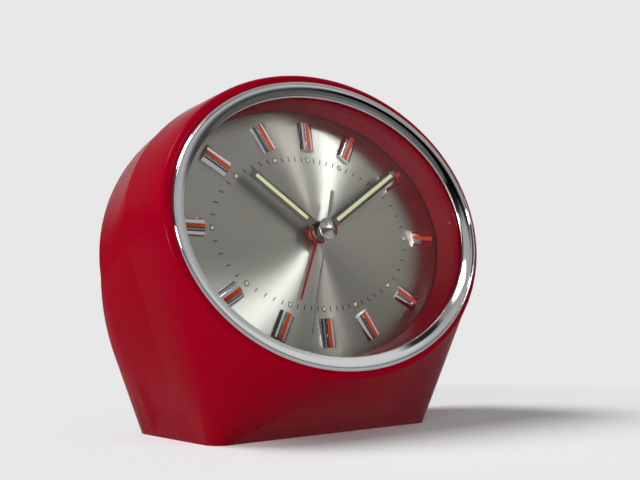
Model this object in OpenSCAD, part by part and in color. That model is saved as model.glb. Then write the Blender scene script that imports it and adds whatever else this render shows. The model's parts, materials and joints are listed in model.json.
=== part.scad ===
// Wind-up alarm clock: an oval face leaning back in a moulded case that flares down to a flat base.
// Millimetres. X to the right of the face, Y to the back, Z up, origin at the middle of the base.

/* [Case] */
// Backward lean of the face in degrees
face_tilt = 9; // [6:0.5:12]
// Height of the dial centre above the table
face_h = 56; // [54:0.5:62]
// Width of the oval rim
rim_w = 112.8; // [111:0.2:122]
// Height of the oval rim along the face
rim_h = 86.8; // [85.6:0.2:94]
// Distance of the rim in front of the dial
rim_stand = 11.9; // [11.4:0.1:13.6]
// Rounding of the rim's outer edge
rim_round = 1.6; // [0.8:0.1:2.2]
// Width of the base
base_w = 77; // [70:0.2:86]
// Corner radius of the base
base_round = 4.6; // [3:0.2:7]
// Distance from the front edge of the base back to the dial centre
base_lead = 6.2; // [5:0.2:8.6]
// Depth of the drum's crease behind the dial centre
drum_d = 7.8; // [7:0.2:11.4]
// Fall of the case's top from the rim to the crease
drum_fall = 1.7; // [0:0.1:2.2]
// Depth of the soft ridge behind the dial centre
ridge_d = 23.8; // [21:0.2:26.4]
// Width of the case at the soft ridge
ridge_w = 110.8; // [108:0.2:112]
// Height of the ridge's top above the dial centre
ridge_rise = 40.8; // [40:0.1:42]
// Drop of the ridge's widest level below the dial centre
ridge_drop = 6; // [3:0.2:8]
// Half height of the ridge's oval below its widest level
ridge_low = 45; // [40:0.5:48]
// Depth of the rear face behind the dial centre
rear_d = 34.4; // [34:0.2:38.4]
// Width of the case at the rear face
rear_w = 101; // [99:0.2:107]
// Height of the rear face's top above the dial centre
rear_rise = 39.9; // [39:0.1:42]
// Drop of the rear face's widest level below the dial centre
rear_drop = 10.4; // [8:0.2:12]
// Half height of the rear oval below its widest level
rear_low = 58; // [52:0.5:60]
// Rounding of the rear edge
rear_round = 2; // [1:0.1:2.4]
// Wall thickness of the case
case_wall = 2.4; // [1.8:0.1:3]

/* [Window] */
// Width of the rim that shows round the bezel
rim_show = 2.5; // [1.8:0.1:3]
// Width of the bezel
bezel_band = 4.1; // [3.6:0.1:5]
// Step of the reflector ring outside the bezel's inner edge at the sides
window_side = 0.6; // [0.3:0.1:1.2]
// Step of the reflector ring outside the bezel's inner edge at the top
window_top = 0.4; // [0.2:0.1:1]
// Wall of the reflector ring at its front
ring_wall = 1.6; // [1.2:0.1:1.8]
// Narrowing of the reflector ring from its front to the dial
ring_taper = 1.1; // [0:0.1:1.4]
// Depth of the reflector ring in front of the dial
ring_d = 8.8; // [8.4:0.1:9.2]
// Thickness of the crystal
crystal_t = 1.4; // [1:0.1:1.6]
// Rise of the crystal at its middle
crystal_rise = 1.8; // [1.4:0.1:2.4]
// Clearance of pieces let into the case
seat_fit = 0.2; // [0.1:0.05:0.3]

/* [Dial and hands] */
// Thickness of the dial
dial_t = 0.6; // [0.4:0.1:0.8]
// Distance from the reflector ring to the middle of the markers at 3 and 9
marker_side = 8.4; // [6:0.2:11]
// Distance from the reflector ring to the middle of the markers at 12 and 6
marker_top = 8.4; // [6:0.2:10]
// Length of an hour marker
marker_l = 8.2; // [5:0.2:8.8]
// Width of an hour marker
marker_w = 5.2; // [4:0.1:5.6]
// Height of an hour marker above the dial
marker_t = 1.4; // [1:0.1:1.8]
// Width of the stripe let into an hour marker
inlay_w = 1.6; // [0.8:0.1:1.8]
// Gap between the minute hand and the front of the reflector ring at 12
minute_gap = 1.1; // [0.9:0.1:6]
// Length of the hour hand as a share of the window's half height
hour_share = 0.74; // [0.6:0.01:0.85]
// Length of the seconds hand as a share of the window's half height
second_share = 0.88; // [0.7:0.01:0.95]
// Length of the alarm hand as a share of the window's half height
alarm_share = 0.58; // [0.4:0.01:0.66]
// Width of the hour and minute hands
hand_w = 3; // [2:0.1:3.6]

/* [Movement] */
// Thickness of the movement plates
plate_t = 1.2; // [0.8:0.1:1.4]
// Space between the dial and the front plate
motion_gap = 5.4; // [5.4:0.1:6]
// Space between the plates
plate_gap = 16.8; // [16.8:0.1:17.6]
// Radial clearance of a running fit
run_fit = 0.05; // [0.02:0.01:0.08]
// Half width of a plate at its pillars
pillar_x = 24; // [23.4:0.2:25]
// Radius of a pillar
pillar_r = 1.8; // [1.4:0.1:2]
// Outer radius of a mainspring
spring_r = 11.4; // [9:0.2:11.6]
// Radius of the balance wheel
balance_r = 7; // [5:0.1:7.2]

/* [Back] */
// Radius of the pan pressed into the rear cover
pan_r = 32; // [31.6:0.1:33]
// Thickness of the rear cover's sheet
cover_t = 0.8; // [0.6:0.1:1]
// Space between the back plate and the pan
pan_gap = 2; // [1.8:0.1:2.4]
// Width of a winding key
key_w = 19; // [14:0.5:20]
// Depth of a winding key behind the pan
key_d = 11.5; // [9:0.5:14]
// Diameter of a setting knob
knob_d = 8.4; // [6:0.2:9]
// Depth of a setting knob
knob_l = 6; // [4:0.2:8]
// Travel of the alarm stop button
stop_travel = 2.4; // [1.5:0.1:2.6]

/* [Hidden] */
$fn = 48;
base_d = base_lead + rear_d;
dial_y = base_lead - base_d / 2;
rear_y = dial_y + rear_d;
rear_z = face_h - rear_drop;
ridge_z = face_h - ridge_drop;
rim_a = rim_w / 2;
rim_b = rim_h / 2;
rear_a = rear_w / 2;

// Depths along the face axis, from the front of the dial
ledge_y = dial_t;
ledge_t = 2;
front_y = dial_t + motion_gap;
front_back = front_y + plate_t;
back_y = front_back + plate_gap;
back_rear = back_y + plate_t;
pan_y = back_rear + pan_gap;
pan_rear = pan_y + cover_t;
crystal_y = -ring_d - crystal_t;

// Half sizes of the ovals of the window, from the rim inwards
bezel_a = rim_a - rim_show;
bezel_b = rim_b - rim_show;
bezel_in_a = bezel_a - bezel_band;
bezel_in_b = bezel_b - bezel_band;
window_a = bezel_in_a + window_side;
window_b = bezel_in_b + window_top;
marker_a = window_a - marker_side;
marker_b = window_b - marker_top;
minute_l = window_b - minute_gap;
hour_l = window_b * hour_share;
second_l = window_b * second_share;
alarm_l = window_b * alarm_share;

// Oval openings in the case
well_a = window_a + ring_wall + seat_fit;
well_b = window_b + ring_wall + seat_fit;
ledge_a = 32;
ledge_b = 26;
hatch_lip = 3;
hatch_edge = 1.2;
cover_drop = 4.6;
cover_z = face_h - cover_drop;
cover_a = rear_a - rear_round - hatch_edge;
cover_b = rear_rise + cover_drop - rear_round - hatch_edge;
hatch_a = cover_a - hatch_lip;
hatch_b = cover_b - hatch_lip;
cover_screw_r = 1;
cover_screw_angles = [38, 142, 218, 322];
pan_centre = [0, -1.5];

// Time shown at rest, as clock angles in degrees
second_at = 198;
minute_at = 57.3;
hour_at = 304.8;
alarm_at = 205;

// Depths of the hands
hand_t = 0.5;
alarm_hand_y = -1.7;
hour_hand_y = -3.3;
minute_hand_y = -4.4;
second_hand_y = -5.5;
hub_cap_t = 1.9;
hub_cap_r = 3.2;

// Radii of the pipes at the centre, inside one another
fourth_r = 0.45;
centre_bore = fourth_r + run_fit;
centre_r = 0.9;
cannon_r = 1.4;
hour_bore = cannon_r + run_fit;
hour_r = 1.95;
alarm_bore = hour_r + run_fit;
alarm_r = 2.5;
press = 0.02;

// Tooth counts and modules of the trains
great_n = 64;
great_m = 0.4;
centre_pinion_n = 10;
centre_n = 64;
centre_m = 0.34;
third_pinion_n = 8;
third_n = 60;
fourth_pinion_n = 8;
third_m = centre_m * (centre_n + third_pinion_n) / (third_n + fourth_pinion_n);
fourth_n = 80;
fourth_m = 0.275;
escape_pinion_n = 8;
cannon_n = 12;
minute_n = 36;
minute_m = 0.42;
minute_pinion_n = 10;
hour_n = 40;
hour_m = minute_m * (cannon_n + minute_n) / (minute_pinion_n + hour_n);
alarm_n = 72;
alarm_pinion_n = 12;
alarm_m = 0.48;
strike_n = 64;
strike_m = 0.4;
star_pinion_n = 8;

// Stations of the arbors on the face, from the centre
great_dir = 184;
third_dir = 90;
escape_dir = 270;
minute_dir = 132;
alarm_dir = 48;
star_dir = 255;
great_p = polar(reach(great_n, centre_pinion_n, great_m), great_dir);
third_p = polar(reach(centre_n, third_pinion_n, centre_m), third_dir);
escape_p = polar(reach(fourth_n, escape_pinion_n, fourth_m), escape_dir);
minute_p = polar(reach(cannon_n, minute_n, minute_m), minute_dir);
set_p = minute_p + polar(reach(minute_n, cannon_n, minute_m), minute_dir);
alarm_set_p = polar(reach(alarm_n, alarm_pinion_n, alarm_m), alarm_dir);
strike_p = polar(15.44, -4);
star_p = strike_p + polar(reach(strike_n, star_pinion_n, strike_m), star_dir);
hammer_p = star_p + polar(6.2, 300);
pallet_p = escape_p + [0, -6.4];
balance_p = pallet_p + [0, -(balance_r + 1.1)];
hammer_head_r = 2.2;
hammer_gap = 1.7;
hammer_head_p = pan_centre + polar(pan_r + cover_t + hammer_gap + hammer_head_r, -27);
stop_p = [18, -22.8];
pillars_at = [[pillar_x, 19.5], [-pillar_x, 19.5], [pillar_x + 1, -24.5], [-pillar_x - 1, -24.5]];
ears_at = [[31.5, 19], [-31.5, 19], [31.5, -19], [-31.5, -19]];
feet_at = [[24, -8], [-24, -8]];

// Turn of each wheel that brings its teeth into mesh at rest
third_turn = mesh(third_dir, 0, centre_n, third_pinion_n);
fourth_turn = mesh(third_dir + 180, third_turn, third_n, fourth_pinion_n);
escape_turn = mesh(escape_dir, fourth_turn, fourth_n, escape_pinion_n);
great_turn = mesh(great_dir, 0, centre_pinion_n, great_n);
minute_turn = mesh(minute_dir, 0, cannon_n, minute_n);
hour_turn = mesh(minute_dir + 180, minute_turn, minute_pinion_n, hour_n);
set_turn = mesh(minute_dir, minute_turn, minute_n, cannon_n);
alarm_set_turn = mesh(alarm_dir, 0, alarm_n, alarm_pinion_n);
star_turn = mesh(star_dir, 0, strike_n, star_pinion_n);

// Depths of the wheels
alarm_wheel_y = ledge_y + 0.6;
hour_wheel_y = alarm_wheel_y + 1.6;
minute_wheel_y = hour_wheel_y + 1.6;
centre_wheel_y = front_back + 1.2;
great_wheel_y = front_back + 3;
great_wheel_t = 1.2;
time_ratchet_y = great_wheel_y + great_wheel_t + 0.2;
time_spring_y = time_ratchet_y + 1.2;
time_spring_t = 4.8;
alarm_spring_y = front_back + 2.6;
alarm_spring_t = 4;
alarm_ratchet_y = alarm_spring_y + alarm_spring_t + 0.6;
strike_wheel_y = alarm_ratchet_y + 1;
fourth_wheel_y = back_y - 5.8;
third_wheel_y = back_y - 3.8;
star_wheel_y = back_y - 5.6;
escape_wheel_y = back_y - 3.8;
pallet_y = back_y - 2.6;
balance_y = front_back + 6.8;
hairspring_y = balance_y + 2.4;
hammer_arm_y = back_y - 4;
wheel_t = 0.8;
pinion_t = 1.6;
arbor_r = 0.7;
pivot_r = 0.45;
winding_r = 2;
winding_end_r = 1.8;
ratchet_t = 0.6;
ratchet_n = 16;
ratchet_r = 4.4;
click_at = [7.6, 0];
click_tip = polar(ratchet_r + 0.55, 35);
escape_teeth = 15;
escape_r = 4.6;
star_teeth = 9;
star_r = 4.2;
spring_sheet = 0.3;
spring_turns = 7;
hair_turns = 5;
hair_sheet = 0.15;
hair_in = 1.35;
hair_out = 4.4;
regulator_l = 7;
regulator_swing = 24;

// Points and placing

function polar(r, a) = [r * cos(a), r * sin(a)];

// Distance between the centres of two meshed wheels
function reach(n1, n2, m) = (n1 + n2) * m / 2;

// Turn of a wheel of n2 teeth that meshes with one of n1 teeth turned by turn1 and lying the way dir from it
function mesh(dir, turn1, n1, n2) = dir + 180 - 180 / n2 + (dir - turn1) * n1 / n2;

// A point of the leaning face in the frame of the whole clock
function on_face(p) = [
    p.x,
    dial_y + p.y * cos(face_tilt) + p.z * sin(face_tilt),
    face_h - p.y * sin(face_tilt) + p.z * cos(face_tilt)
];

module face() translate([0, dial_y, face_h]) rotate([-face_tilt, 0, 0]) children();

module station(p) translate([p.x, 0, p.y]) children();

// A flat outline seen from the front, with its front at depth y and thickness t
module slab(y, t) translate([0, y + t, 0]) rotate([90, 0, 0]) linear_extrude(t) children();

module rod(r, y, t) translate([0, y + t, 0]) rotate([90, 0, 0]) cylinder(h = t, r = r);

module tube(r, bore, y, t) difference() {
    rod(r, y, t);
    rod(bore, y - 1, t + 2);
}

// Ovals and lofts

oval_n = 96;

function oval(a, b, n = oval_n) = [for (i = [0:n - 1]) [a * cos(360 * i / n), b * sin(360 * i / n)]];

// One closed skin over rings with equally many points, listed from the front to the back
module loft(rings, closed = false) {
    n = len(rings[0]);
    last = len(rings) - (closed ? 0 : 1);
    sides = [
        for (k = [0:last - 1], j = [0:n - 1])
            let (a = k * n, b = (k + 1) % len(rings) * n, m = (j + 1) % n)
                each [[a + j, a + m, b + m], [a + j, b + m, b + j]]
    ];
    front = [for (j = [n - 1:-1:0]) j];
    back = [for (j = [0:n - 1]) last * n + j];
    polyhedron([for (r = rings) each r], closed ? sides : concat([front], sides, [back]));
}

function oval_ring(a, b, y) = [for (p = oval(a, b)) [p.x, y, p.y]];

// Case form: rings with an arc over the top and a lower run that follows the oval or the base

top_n = 64;
half_n = 12;
low_n = 2 * half_n;

// Angle at which a line from the foot (w, -drop) touches an oval
function touch(a, b, w, drop) = let (p = [w / a, -drop / b]) atan2(p.y, p.x) + acos(min(1, 1 / norm(p)));

function top_angles(t) = [for (i = [0:top_n - 1]) t + (180 - 2 * t) * i / (top_n - 1)];

function low_angles(t) = [for (i = [1:low_n]) 180 - t + (180 + 2 * t) * (i - 0.5) / low_n];

function face_ring(a, b, y, t) = [
    for (q = concat(top_angles(t), low_angles(t))) on_face([a * cos(q), y, b * sin(q)])
];

// An oval's arc in an upright plane, with the half heights b above and below its widest level
function upright_arc(a, b, y, z, angles) = [
    for (q = angles) [a * cos(q), y, z + (q > 0 && q < 180 ? b[0] : b[1]) * sin(q)]
];

function foot_line(w, y, z) = [for (i = [0:low_n - 1]) [-w + 2 * w * i / (low_n - 1), y, z]];

// Turn of a base corner at which the skin up to the oval's point q lies straight. The oval's plane cuts the
// table drop below the oval's middle and ahead of the centre of the corner
function corner_turn(q, a, b, drop, ahead, x, r) = let (
    d = [a * (1 + drop / b * sin(q)) / cos(q) - x, -ahead]
) atan2(d.y, d.x) - acos(r / norm(d));

// Rounded front edge of the base under an oval whose plane meets the table at y
function foot_edge(w, edge, r, z, a, b, drop, y) = let (
    t = touch(a, b, w, drop),
    c = [-(w - r), edge + r],
    left = [
        for (i = [0:half_n - 1])
            let (f = corner_turn(low_angles(t)[i], a, b, drop, c.y - y, c.x, r))
                [c.x + r * cos(f), c.y + r * sin(f), z]
    ]
) concat(left, [for (p = turned(left)) [-p.x, p.y, p.z]]);

// Upright section: an arc over the top and straight sides down to the base
function section(a, b, z, foot, t, y) = concat(
    upright_arc(a, b, y, z, top_angles(touch(a, b[1], foot, z - t))),
    foot_line(foot, y, t)
);

function half_way(p, q) = [for (i = [0:top_n - 1]) (p[i] + q[i]) / 2];

// Solid form of the case drawn in by a wall t; front rows are [inset, depth], the rear edge has the radii
// r along the oval and corner along the base
module case_form(t, front_rows, rear_turns, r, corner) {
    foot = base_w / 2 - t;
    front_y0 = front_rows[len(front_rows) - 1][1];
    front_drop = (face_h - t - front_y0 * sin(face_tilt)) / cos(face_tilt);
    front_t = touch(rim_a - t, rim_b - t, foot, front_drop);
    front_rings = [for (row = front_rows) face_ring(rim_a - row[0], rim_b - row[0], row[1], front_t)];
    front_foot = foot_edge(
        foot, t - base_d / 2, max(base_round - t, 1), t, rim_a - t, rim_b - t, front_drop,
        on_face([0, front_y0, -front_drop]).y
    );
    drum_b = rim_b * cos(face_tilt) - 1.5 * drum_fall - t;
    drum_z = face_h + (rim_stand - rim_round) * sin(face_tilt) + drum_fall / 2;
    drum = section(rim_a - t, [drum_b, drum_b], drum_z, foot, t, dial_y + drum_d);
    ridge_b = [ridge_rise + ridge_drop - t, ridge_low - t];
    ridge = section(ridge_w / 2 - t, ridge_b, ridge_z, foot, t, dial_y + ridge_d);
    rear_b = [rear_rise + rear_drop - t, rear_low - t];
    rear_t = touch(rear_a - t, rear_b[1], foot, rear_z - t);
    rear_rings = [
        for (q = rear_turns)
            let (i = r * (1 - sin(q)), y = rear_y - t - r * (1 - cos(q)))
                concat(
                    upright_arc(rear_a - t - i, rear_b - [i, i], y, rear_z, top_angles(rear_t)),
                    foot_line(foot - corner * (1 - sin(q)), rear_y - t - corner * (1 - cos(q)), t)
                )
    ];
    loft(concat(
        front_rings,
        [concat(half_way(front_rings[len(front_rings) - 1], drum), front_foot), drum, ridge],
        rear_rings
    ));
}

function edge_rows(r, y) = [for (q = [0:30:90]) [r * (1 - sin(q)), y + r * (1 - cos(q))]];

function turned(v) = [for (i = [len(v) - 1:-1:0]) v[i]];

module cover_screw_places() for (q = cover_screw_angles)
    translate([
        (cover_a + hatch_a) / 2 * cos(q), rear_y, cover_z + (cover_b + hatch_b) / 2 * sin(q)
    ]) children();

// An upright oval plate whose rear face is at depth y
module upright_oval(a, b, y, t) translate([0, y, cover_z]) rotate([90, 0, 0]) linear_extrude(t) polygon(oval(a, b));

module case_shell() color("crimson") difference() {
    union() {
        difference() {
            case_form(0, edge_rows(rim_round, -rim_stand), [90:-30:0], rear_round, base_round);
            case_form(case_wall, [[case_wall, ledge_y + ledge_t]], [0], 0, 0);
        }
        face() for (p = ears_at) station(p) rod(3.2, ledge_y + ledge_t - 0.5, motion_gap - ledge_t + 0.5);
        cover_screw_places() rod(2.4, -7, 6);
    }
    face() slab(-rim_stand - 1, rim_stand + 1 + ledge_y) polygon(oval(well_a, well_b));
    face() slab(0, ledge_t + 2) polygon(oval(ledge_a, ledge_b));
    face() for (p = ears_at) station(p) rod(1.05, ledge_y + 1, 9);
    upright_oval(hatch_a, hatch_b, rear_y + 1, case_wall + 2);
    upright_oval(cover_a + seat_fit, cover_b + seat_fit, rear_y + 1, cover_t + 1);
    cover_screw_places() rod(cover_screw_r + run_fit, -6, 8);
}

// Window and dial

module bezel() {
    skirt_a = well_a - seat_fit;
    skirt_b = well_b - seat_fit;
    // A share s of the way from the outer to the inner oval, at a height above the rim
    function row(s, h) = oval_ring(bezel_a - bezel_band * s, bezel_b - bezel_band * s, -rim_stand - h);
    color("silver") face() loft([
        row(0.1, 0.75),
        row(0.04, 0.6),
        row(0, 0.25),
        row(0, 0),
        oval_ring(skirt_a, skirt_b, -rim_stand),
        oval_ring(skirt_a, skirt_b, crystal_y),
        oval_ring(bezel_in_a + 0.6, bezel_in_b + 0.6, crystal_y),
        row(1, -1.1),
        row(0.98, -0.7),
        row(0.9, -0.55),
        row(0.55, 0.05),
        row(0.28, 0.3),
        row(0.22, 0.3),
        row(0.2, 0.55),
        row(0.16, 0.7)
    ], closed = true);
}

module crystal() {
    a = well_a - seat_fit;
    b = well_b - seat_fit;
    steps = [0.04, 0.3, 0.5, 0.7, 0.85, 0.94];
    function dome(s, y) = oval_ring(a * s, b * s, y - crystal_rise * (1 - pow(s / 0.94, 2)));
    color("white", 0.3) face() loft(concat(
        [for (s = steps) dome(s, crystal_y)],
        [oval_ring(a, b, crystal_y), oval_ring(a, b, -ring_d)],
        [for (s = turned(steps)) dome(s, -ring_d)]
    ));
}

module reflector_ring() color("firebrick") face() loft([
    oval_ring(window_a, window_b, -ring_d),
    oval_ring(window_a + ring_wall, window_b + ring_wall, -ring_d),
    oval_ring(window_a + ring_wall, window_b + ring_wall, 0),
    oval_ring(window_a - ring_taper, window_b - ring_taper, 0)
], closed = true);

module dial() color("gainsboro") face() {
    difference() {
        slab(0, dial_t) polygon(oval(well_a - seat_fit, well_b - seat_fit));
        rod(alarm_r + 0.3, -1, dial_t + 2);
    }
    for (p = feet_at) station(p) rod(0.8, dial_t, motion_gap + plate_t - 0.2);
}

// Distance from the centre to the marker oval at a clock angle
function marker_reach(q) = 1 / norm([sin(q) / marker_a, cos(q) / marker_b]);

module marker_places() for (q = [0:30:330]) rotate([0, q, 0]) translate([0, 0, marker_reach(q)]) children();

// Left flank of a marker's section, from the dial up to its flat top
marker_flank = [
    [-marker_w / 2, 0], [-marker_w / 2, -marker_t * 0.2],
    [-marker_w * 0.37, -marker_t * 0.66], [-inlay_w / 2 - 0.1, -marker_t]
];

module hour_markers() color("silver") face() marker_places() difference() {
    translate([0, 0, -marker_l / 2]) linear_extrude(marker_l) polygon(concat(
        marker_flank, [for (p = turned(marker_flank)) [-p.x, p.y]]
    ));
    translate([-inlay_w / 2, -marker_t - 1, -marker_l / 2 - 1]) cube([inlay_w, 1.3, marker_l + 2]);
}

module marker_inlays() color("orangered") face() marker_places()
    translate([-inlay_w / 2, -marker_t - 0.05, -marker_l / 2]) cube([inlay_w, 0.35, marker_l]);

// Hands, drawn upright and turned to the time shown

module hand_hub(r, bore, y, t, at) rotate([0, at, 0]) difference() {
    union() {
        rod(r, y, t);
        children();
    }
    rod(bore, y - 1, t + 2);
}

module baton(l, w, y, t) slab(y, t) polygon([[-w / 2, 0], [w / 2, 0], [w / 2, l], [-w / 2, l]]);

module alarm_hand() color("red") face() hand_hub(3.3, alarm_r + press, alarm_hand_y, hand_t, alarm_at)
    slab(alarm_hand_y, hand_t) polygon([[-0.4, 0], [0.4, 0], [0.22, alarm_l], [-0.22, alarm_l]]);

lume_start = 6;
lume_end = 1.6;
lume_w = 1.1;

module lumed_hand(l, r, bore, y, at) hand_hub(r, bore, y, hand_t, at) difference() {
    baton(l, hand_w, y, hand_t);
    slab(y - 0.3, 0.5) translate([-lume_w / 2, lume_start]) square([lume_w, l - lume_start - lume_end]);
}

module lume(l, y, at) rotate([0, at, 0])
    slab(y - 0.05, 0.25) translate([-lume_w / 2, lume_start]) square([lume_w, l - lume_start - lume_end]);

module hour_hand() color("silver") face() lumed_hand(hour_l, 3, hour_r + press, hour_hand_y, hour_at);

module hour_hand_lume() color("khaki") face() lume(hour_l, hour_hand_y, hour_at);

module minute_hand() color("silver") face() lumed_hand(minute_l, 2.8, cannon_r + press, minute_hand_y, minute_at);

module minute_hand_lume() color("khaki") face() lume(minute_l, minute_hand_y, minute_at);

second_tail = 12;

module seconds_hand() color("lightgray") face()
    hand_hub(1.6, fourth_r + press, second_hand_y, 0.4, second_at) {
        slab(second_hand_y, 0.4) polygon([[-0.3, 0], [0.3, 0], [0.2, second_l], [-0.2, second_l]]);
        slab(second_hand_y, 0.4) polygon([[-0.3, 0], [0.3, 0], [0.6, -second_tail], [-0.6, -second_tail]]);
    }

module hub_cap() color("silver") face() difference() {
    translate([0, second_hand_y, 0]) rotate([90, 0, 0]) rotate_extrude() polygon([
        [0, 0], [hub_cap_r, 0], [hub_cap_r, 0.5], [0.15, hub_cap_t], [0, hub_cap_t]
    ]);
    rod(fourth_r + press, second_hand_y - 0.8, 2);
}

// Wheels

// Four points a tooth: root, tip, tip, root; widths are half a tooth as a share of pi modules
function teeth(n, m, turn, add, ded, root, tip) = let (r = n * m / 2) [
    for (k = [0:n - 1], c = [[-1, -ded, root], [-1, add, tip], [1, add, tip], [1, -ded, root]])
        let (q = r + c[1] * m) polar(q, turn + 360 * k / n + c[0] * c[2] * 180 * m / q)
];

module wheel_teeth(n, m, turn) polygon(teeth(n, m, turn, 0.9, 1.25, 0.25, 0.08));

module pinion_teeth(n, m, turn) polygon(teeth(n, m, turn, 0.7, 1.3, 0.18, 0.1));

module saw_teeth(n, tip, root) polygon([
    for (k = [0:n - 1], c = [[0, tip], [0.2, root], [0.9, root]]) polar(c[1], 360 * (k + c[0]) / n)
]);

// Crossed-out wheel: rim and spokes round a hub
module wheel(n, m, turn, y, t, hub, spokes = 4) difference() {
    slab(y, t) wheel_teeth(n, m, turn);
    difference() {
        tube(n * m / 2 - 2.6 * m - 0.5, hub, y - 1, t + 2);
        for (k = [0:spokes - 1]) rotate([0, 360 * k / spokes, 0])
            translate([-0.7, y - 2, 0]) cube([1.4, t + 4, n * m / 2]);
    }
}

module pinion(n, m, turn, y, t) slab(y, t) pinion_teeth(n, m, turn);

// Arbor between the plates with a pivot at each end
module arbor() {
    rod(arbor_r, front_back + 0.2, plate_gap - 0.4);
    rod(pivot_r, front_y + 0.2, plate_gap + 2 * plate_t - 0.4);
}

module centre_wheel() color("goldenrod") face() difference() {
    union() {
        wheel(centre_n, centre_m, 0, centre_wheel_y, wheel_t, 2.6);
        pinion(centre_pinion_n, great_m, 0, great_wheel_y - 0.2, pinion_t);
        rod(centre_r, minute_wheel_y - 1, great_wheel_y + 2.2 - minute_wheel_y);
    }
    rod(centre_bore, front_y - 9, 30);
}

module third_wheel() color("goldenrod") face() station(third_p) {
    arbor();
    wheel(third_n, third_m, third_turn, third_wheel_y, wheel_t, 2.2);
    pinion(third_pinion_n, centre_m, third_turn, centre_wheel_y - 0.4, pinion_t);
}

module fourth_wheel() color("goldenrod") face() {
    rod(fourth_r, second_hand_y - 0.6, back_rear - 0.2 - second_hand_y + 0.6);
    rod(arbor_r, great_wheel_y + 2.6, back_y - 0.2 - great_wheel_y - 2.6);
    wheel(fourth_n, fourth_m, fourth_turn, fourth_wheel_y, 0.6, 2);
    pinion(fourth_pinion_n, third_m, fourth_turn, third_wheel_y - 0.4, pinion_t);
}

module escape_wheel() color("goldenrod") face() station(escape_p) {
    arbor();
    slab(escape_wheel_y, 0.6) rotate(escape_turn) saw_teeth(escape_teeth, escape_r, escape_r - 1.1);
    pinion(escape_pinion_n, fourth_m, escape_turn, fourth_wheel_y - 0.4, 1.4);
}

pallet_pin_r = 0.3;
pallet_swing = 6;

module pallet_lever() color("steelblue") face() {
    pins = [for (x = [-1, 1]) escape_p + polar(escape_r + pallet_pin_r + 0.6, 270 + 35 * x)];
    station(pallet_p) arbor();
    for (p = pins) station(p) rod(pallet_pin_r, escape_wheel_y - 0.3, pallet_y - escape_wheel_y + 0.5);
    slab(pallet_y, wheel_t) {
        hull() for (p = concat(pins, [pallet_p])) translate(p) circle(r = 0.95);
        hull() for (p = [pallet_p, balance_p + [0, 2.6]]) translate(p) circle(r = 0.5);
    }
}

module balance_wheel() color("goldenrod") face() station(balance_p) {
    arbor();
    tube(balance_r, balance_r - 1.1, balance_y, 1.2);
    translate([-balance_r + 0.4, balance_y, -0.8]) cube([2 * balance_r - 0.8, 1.2, 1.6]);
    rod(hair_in - 0.35, hairspring_y - 0.2, 1);
    rod(1.6, pallet_y - 0.1, wheel_t);
}

// Flat spiral strip that ends the way at, with a straight tail
function spiral(r0, r1, turns, way, at, sheet, tail) = let (
    steps = 24 * turns,
    mid = [for (i = [0:steps]) polar(r0 + (r1 - r0) * i / steps, at - way * 360 * (turns - i * turns / steps))],
    end = mid[steps] + way * tail * polar(1, at + 90),
    path = tail > 0 ? concat(mid, [end]) : mid,
    n = len(path) - 1,
    side = [for (i = [0:n]) let (d = path[min(i + 1, n)] - path[max(i - 1, 0)]) [-d.y, d.x] / norm(d) * sheet / 2]
) concat(path + side, turned(path - side));

module hairspring() color("steelblue") face() station(balance_p)
    slab(hairspring_y, 0.6) polygon(spiral(hair_in, hair_out, hair_turns, 1, 180, hair_sheet, 0));

// Tail of a mainspring runs up past its pillar
function tail_to(p) = 19.5 - p.y;

module mainspring(p, way, at, y, t) color("slategray") face() station(p)
    slab(y, t) polygon(spiral(winding_r + 0.4, spring_r - 0.2, spring_turns, way, at, spring_sheet, tail_to(p)));

module time_mainspring() mainspring(great_p, -1, 180, time_spring_y, time_spring_t);

module alarm_mainspring() mainspring(strike_p, 1, 0, alarm_spring_y, alarm_spring_t);

// Winding arbor with its ratchet, running back through the cover to the key
module winding_arbor(p, y) color("lightgray") face() station(p) {
    rod(winding_r, front_back + 0.2, plate_gap - 0.4);
    rod(1.4, front_y + 0.2, plate_t + 0.2);
    rod(winding_end_r, back_y - 1, pan_rear + 4.6 - back_y);
    slab(y, ratchet_t) saw_teeth(ratchet_n, ratchet_r, ratchet_r - 0.8);
}

module time_arbor() winding_arbor(great_p, time_ratchet_y);

module alarm_arbor() winding_arbor(strike_p, alarm_ratchet_y);

module great_wheel(p, n, m, turn, y, stud_y) color("goldenrod") face() station(p) {
    difference() {
        slab(y, great_wheel_t) wheel_teeth(n, m, turn);
        rod(winding_r + run_fit, y - 1, great_wheel_t + 2);
    }
    station(click_at) rod(0.5, stud_y, 1.2);
}

module time_great_wheel()
    great_wheel(great_p, great_n, great_m, great_turn, great_wheel_y, time_ratchet_y - 0.3);

module alarm_great_wheel()
    great_wheel(strike_p, strike_n, strike_m, 0, strike_wheel_y, alarm_ratchet_y - 0.1);

module click(p, y) color("lightgray") face() station(p) difference() {
    slab(y, ratchet_t) hull() {
        translate(click_at) circle(r = 1.1);
        translate(click_tip) circle(r = 0.3);
    }
    station(click_at) rod(0.5 + run_fit, y - 1, 3);
}

module time_click() click(great_p, time_ratchet_y);

module alarm_click() click(strike_p, alarm_ratchet_y);

// Wing key on the end of a winding arbor
module winding_key(p) color("silver") face() station(p) difference() {
    union() {
        rod(3.2, pan_rear + 0.8, 4.6);
        translate([-0.8, 0, 0]) rotate([0, 90, 0]) linear_extrude(1.6) difference() {
            hull() for (x = [-1, 1], y = [pan_rear + 4.2, pan_rear + key_d - 2.5])
                translate([x * (key_w / 2 - 2.5), y]) circle(r = 2.5);
            for (x = [-1, 1]) translate([x * (key_w / 2 - 3.6), pan_rear + key_d - 5]) circle(r = 1.4);
        }
    }
    rod(winding_end_r + press, pan_rear - 1, 5.7);
}

module time_key() winding_key(great_p);

module alarm_key() winding_key(strike_p);

// Motion work

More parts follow.
